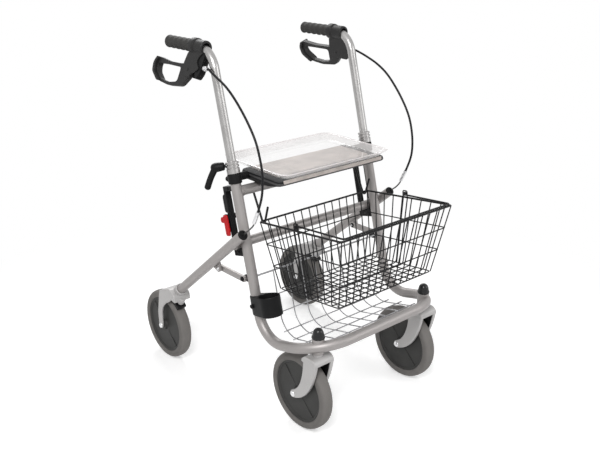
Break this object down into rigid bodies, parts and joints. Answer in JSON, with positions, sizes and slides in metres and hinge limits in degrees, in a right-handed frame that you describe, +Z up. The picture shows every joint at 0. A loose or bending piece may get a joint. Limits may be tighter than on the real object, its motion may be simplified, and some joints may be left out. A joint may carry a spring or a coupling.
{
  "type": "walking frame",
  "caption": "Folding wheeled walking frame with hand brakes, hinged seat, clear tray, lift-out wire basket, wire shelf and cane holder.",
  "frame": {"origin": "on the floor, midway between the frontmost and rearmost points and between the two sides", "axes": "+Z up, -Y to the front (the way the frame is pushed), -X to the right hand of the person who pushes it"},
  "size_m": [0.562, 0.7417, 0.9174],
  "materials": {
    "frame_paint": "satin silver-grey powder coat",
    "bright_alloy": "bright anodised tube",
    "black_plastic": "matte black moulding",
    "steel": "zinc-plated",
    "shelf_wire": "silver-grey coated wire",
    "black_wire": "black coated wire",
    "cable_sheath": "matte black sheath",
    "red_plastic": "semi-gloss red moulding",
    "hub_plastic": "matte dark grey moulding",
    "tyre_grey": "matte mid grey",
    "brake_plastic": "matte dark grey moulding",
    "grip_rubber": "matte soft grip",
    "seat_plastic": "matte dark grey moulding",
    "pad_plastic": "matte warm grey",
    "clear_plastic": "clear glossy"
  },
  "bodies": {
    "front_frame": {"front_frame": "frame_paint", "seat_rail": "frame_paint", "caster_sockets": "frame_paint", "socket_caps": "black_plastic", "shelf_grid": "shelf_wire", "guide_right": "black_plastic", "guide_left": "black_plastic", "upright_lugs": "steel", "height_collars": "bright_alloy", "seat_clamps": "black_plastic", "basket_hooks": "black_wire", "cane_cup": "black_plastic", "cup_screw": "black_plastic", "brake_cable_right": "cable_sheath", "brake_cable_left": "cable_sheath"},
    "cable_end_right": {"cable_end_right": "steel"},
    "cable_end_left": {"cable_end_left": "steel"},
    "latch": {"lock_latch": "red_plastic"},
    "strut_right": {"strut_right": "frame_paint"},
    "strut_left": {"strut_left": "frame_paint"},
    "rear_frame": {"rear_leg_right": "frame_paint", "rear_leg_left": "frame_paint", "rear_cross_tube": "frame_paint", "leg_plugs": "black_plastic", "rear_fork_right": "frame_paint", "rear_fork_left": "frame_paint", "rear_axles": "steel"},
    "rear_wheel_right": {"rear_hub_right": "hub_plastic", "rear_tyre_right": "tyre_grey"},
    "rear_wheel_left": {"rear_hub_left": "hub_plastic", "rear_tyre_left": "tyre_grey"},
    "brake_shoe_right": {"brake_shoe_right": "black_plastic"},
    "brake_shoe_left": {"brake_shoe_left": "black_plastic"},
    "caster_right": {"caster_fork_right": "frame_paint", "caster_axle_right": "steel"},
    "caster_left": {"caster_fork_left": "frame_paint", "caster_axle_left": "steel"},
    "caster_wheel_right": {"caster_hub_right": "hub_plastic", "caster_tyre_right": "tyre_grey"},
    "caster_wheel_left": {"caster_hub_left": "hub_plastic", "caster_tyre_left": "tyre_grey"},
    "handle_right": {"push_tube_right": "bright_alloy", "hand_grip_right": "grip_rubber", "brake_housing_right": "brake_plastic"},
    "handle_left": {"push_tube_left": "bright_alloy", "hand_grip_left": "grip_rubber", "brake_housing_left": "brake_plastic"},
    "brake_lever_right": {"brake_lever_right": "brake_plastic"},
    "brake_lever_left": {"brake_lever_left": "brake_plastic"},
    "clamp_lever_right": {"clamp_lever_right": "black_plastic"},
    "clamp_lever_left": {"clamp_lever_left": "black_plastic"},
    "seat": {"seat_shell": "seat_plastic", "seat_pad": "pad_plastic"},
    "tray": {"tray": "clear_plastic"},
    "basket": {"basket_floor": "black_wire", "basket_front": "black_wire", "basket_rear": "black_wire", "basket_sides": "black_wire"},
    "bail": {"basket_bail": "black_wire"}
  },
  "joints": [
    {"name": "strut_right_swing", "type": "hinge", "parent": "front_frame", "child": "strut_right", "pos_m": [-0.2325, -0.07476, 0.35606], "axis": [1, 0, 0], "range_deg": [0, 60.1]},
    {"name": "strut_left_swing", "type": "hinge", "parent": "front_frame", "child": "strut_left", "pos_m": [0.2325, -0.07476, 0.35606], "axis": [1, 0, 0], "range_deg": [0, 60.1]},
    {"name": "rear_fold", "type": "hinge", "parent": "strut_right", "child": "rear_frame", "pos_m": [-0.2325, 0.01882, 0.35394], "axis": [-1, 0, 0], "range_deg": [0, 100.85]},
    {"name": "cable_end_right_draw", "type": "slide", "parent": "front_frame", "child": "cable_end_right", "axis": [0, 0.48, 0.8773], "range_m": [0, 0.15], "deforming": ["cable_end_right"]},
    {"name": "cable_end_left_draw", "type": "slide", "parent": "front_frame", "child": "cable_end_left", "axis": [0, 0.48, 0.8773], "range_m": [0, 0.15], "deforming": ["cable_end_left"]},
    {"name": "latch_pull", "type": "hinge", "parent": "front_frame", "child": "latch", "pos_m": [-0.21725, 0.0001, 0.49508], "axis": [1, 0, 0], "range_deg": [0, 20], "stiffness_Nm_per_rad": 0.25, "springref_deg": -11.46},
    {"name": "rear_wheel_right_spin", "type": "hinge", "parent": "rear_frame", "child": "rear_wheel_right", "pos_m": [-0.252, 0.27108, 0.1], "axis": [1, 0, 0], "continuous": true},
    {"name": "rear_wheel_left_spin", "type": "hinge", "parent": "rear_frame", "child": "rear_wheel_left", "pos_m": [0.252, 0.27108, 0.1], "axis": [1, 0, 0], "continuous": true},
    {"name": "caster_right_swivel", "type": "hinge", "parent": "front_frame", "child": "caster_right", "pos_m": [-0.18459, -0.29728, 0.246], "axis": [0, 0, 1], "continuous": true},
    {"name": "caster_wheel_right_spin", "type": "hinge", "parent": "caster_right", "child": "caster_wheel_right", "pos_m": [-0.18459, -0.23927, 0.1], "axis": [1, 0, 0], "continuous": true},
    {"name": "caster_left_swivel", "type": "hinge", "parent": "front_frame", "child": "caster_left", "pos_m": [0.18459, -0.29728, 0.246], "axis": [0, 0, 1], "continuous": true},
    {"name": "caster_wheel_left_spin", "type": "hinge", "parent": "caster_left", "child": "caster_wheel_left", "pos_m": [0.18459, -0.23927, 0.1], "axis": [1, 0, 0], "continuous": true},
    {"name": "handle_right_height", "type": "slide", "parent": "front_frame", "child": "handle_right", "axis": [0, 0.2521, 0.9677], "range_m": [-0.12, 0.06], "deforming": ["brake_cable_right"]},
    {"name": "brake_lever_right_pull", "type": "hinge", "parent": "handle_right", "child": "brake_lever_right", "pos_m": [-0.24084, 0.10448, 0.84289], "axis": [0.9397, 0, -0.342], "range_deg": [0, 10], "stiffness_Nm_per_rad": 2, "springref_deg": -8.59},
    {"name": "handle_left_height", "type": "slide", "parent": "front_frame", "child": "handle_left", "axis": [0, 0.2521, 0.9677], "range_m": [-0.12, 0.06], "deforming": ["brake_cable_left"]},
    {"name": "brake_lever_left_pull", "type": "hinge", "parent": "handle_left", "child": "brake_lever_left", "pos_m": [0.24084, 0.10448, 0.84289], "axis": [0.9397, 0, 0.342], "range_deg": [0, 10], "stiffness_Nm_per_rad": 2, "springref_deg": -8.59},
    {"name": "brake_shoe_right_press", "type": "slide", "parent": "rear_frame", "child": "brake_shoe_right", "axis": [0, 0.6157, -0.788], "range_m": [0, 0.002]},
    {"name": "brake_shoe_left_press", "type": "slide", "parent": "rear_frame", "child": "brake_shoe_left", "axis": [0, 0.6157, -0.788], "range_m": [0, 0.002]},
    {"name": "clamp_lever_right_turn", "type": "hinge", "parent": "front_frame", "child": "clamp_lever_right", "pos_m": [-0.221, -0.02633, 0.63321], "axis": [0.7071, -0.6843, 0.1782], "range_deg": [-30, 100]},
    {"name": "clamp_lever_left_turn", "type": "hinge", "parent": "front_frame", "child": "clamp_lever_left", "pos_m": [0.221, -0.02633, 0.63321], "axis": [0.7071, 0.6843, -0.1782], "range_deg": [-30, 100]},
    {"name": "seat_lift", "type": "hinge", "parent": "front_frame", "child": "seat", "pos_m": [0, -0.02472, 0.59972], "axis": [-1, 0, 0], "range_deg": [0, 90]},
    {"name": "tray_lift", "type": "slide", "parent": "seat", "child": "tray", "axis": [0, 0, 1], "range_m": [0, 0.12]},
    {"name": "basket_lift", "type": "slide", "parent": "front_frame", "child": "basket", "axis": [0, 0.1141, 0.9935], "range_m": [0, 0.045]},
    {"name": "bail_raise", "type": "hinge", "parent": "basket", "child": "bail", "pos_m": [0, -0.21723, 0.52077], "axis": [-1, 0, 0], "range_deg": [0, 90]}
  ],
  "couplings": [
    {"joint": "strut_right_swing", "follows": "rear_fold", "ratio": 0.59493},
    {"joint": "strut_left_swing", "follows": "rear_fold", "ratio": 0.59493},
    {"joint": "cable_end_right_draw", "follows": "rear_fold", "m_per_rad": 0.08465},
    {"joint": "cable_end_left_draw", "follows": "rear_fold", "m_per_rad": 0.08465},
    {"joint": "brake_shoe_right_press", "follows": "brake_lever_right_pull", "m_per_rad": 0.01145},
    {"joint": "brake_shoe_left_press", "follows": "brake_lever_left_pull", "m_per_rad": 0.01145}
  ]
}
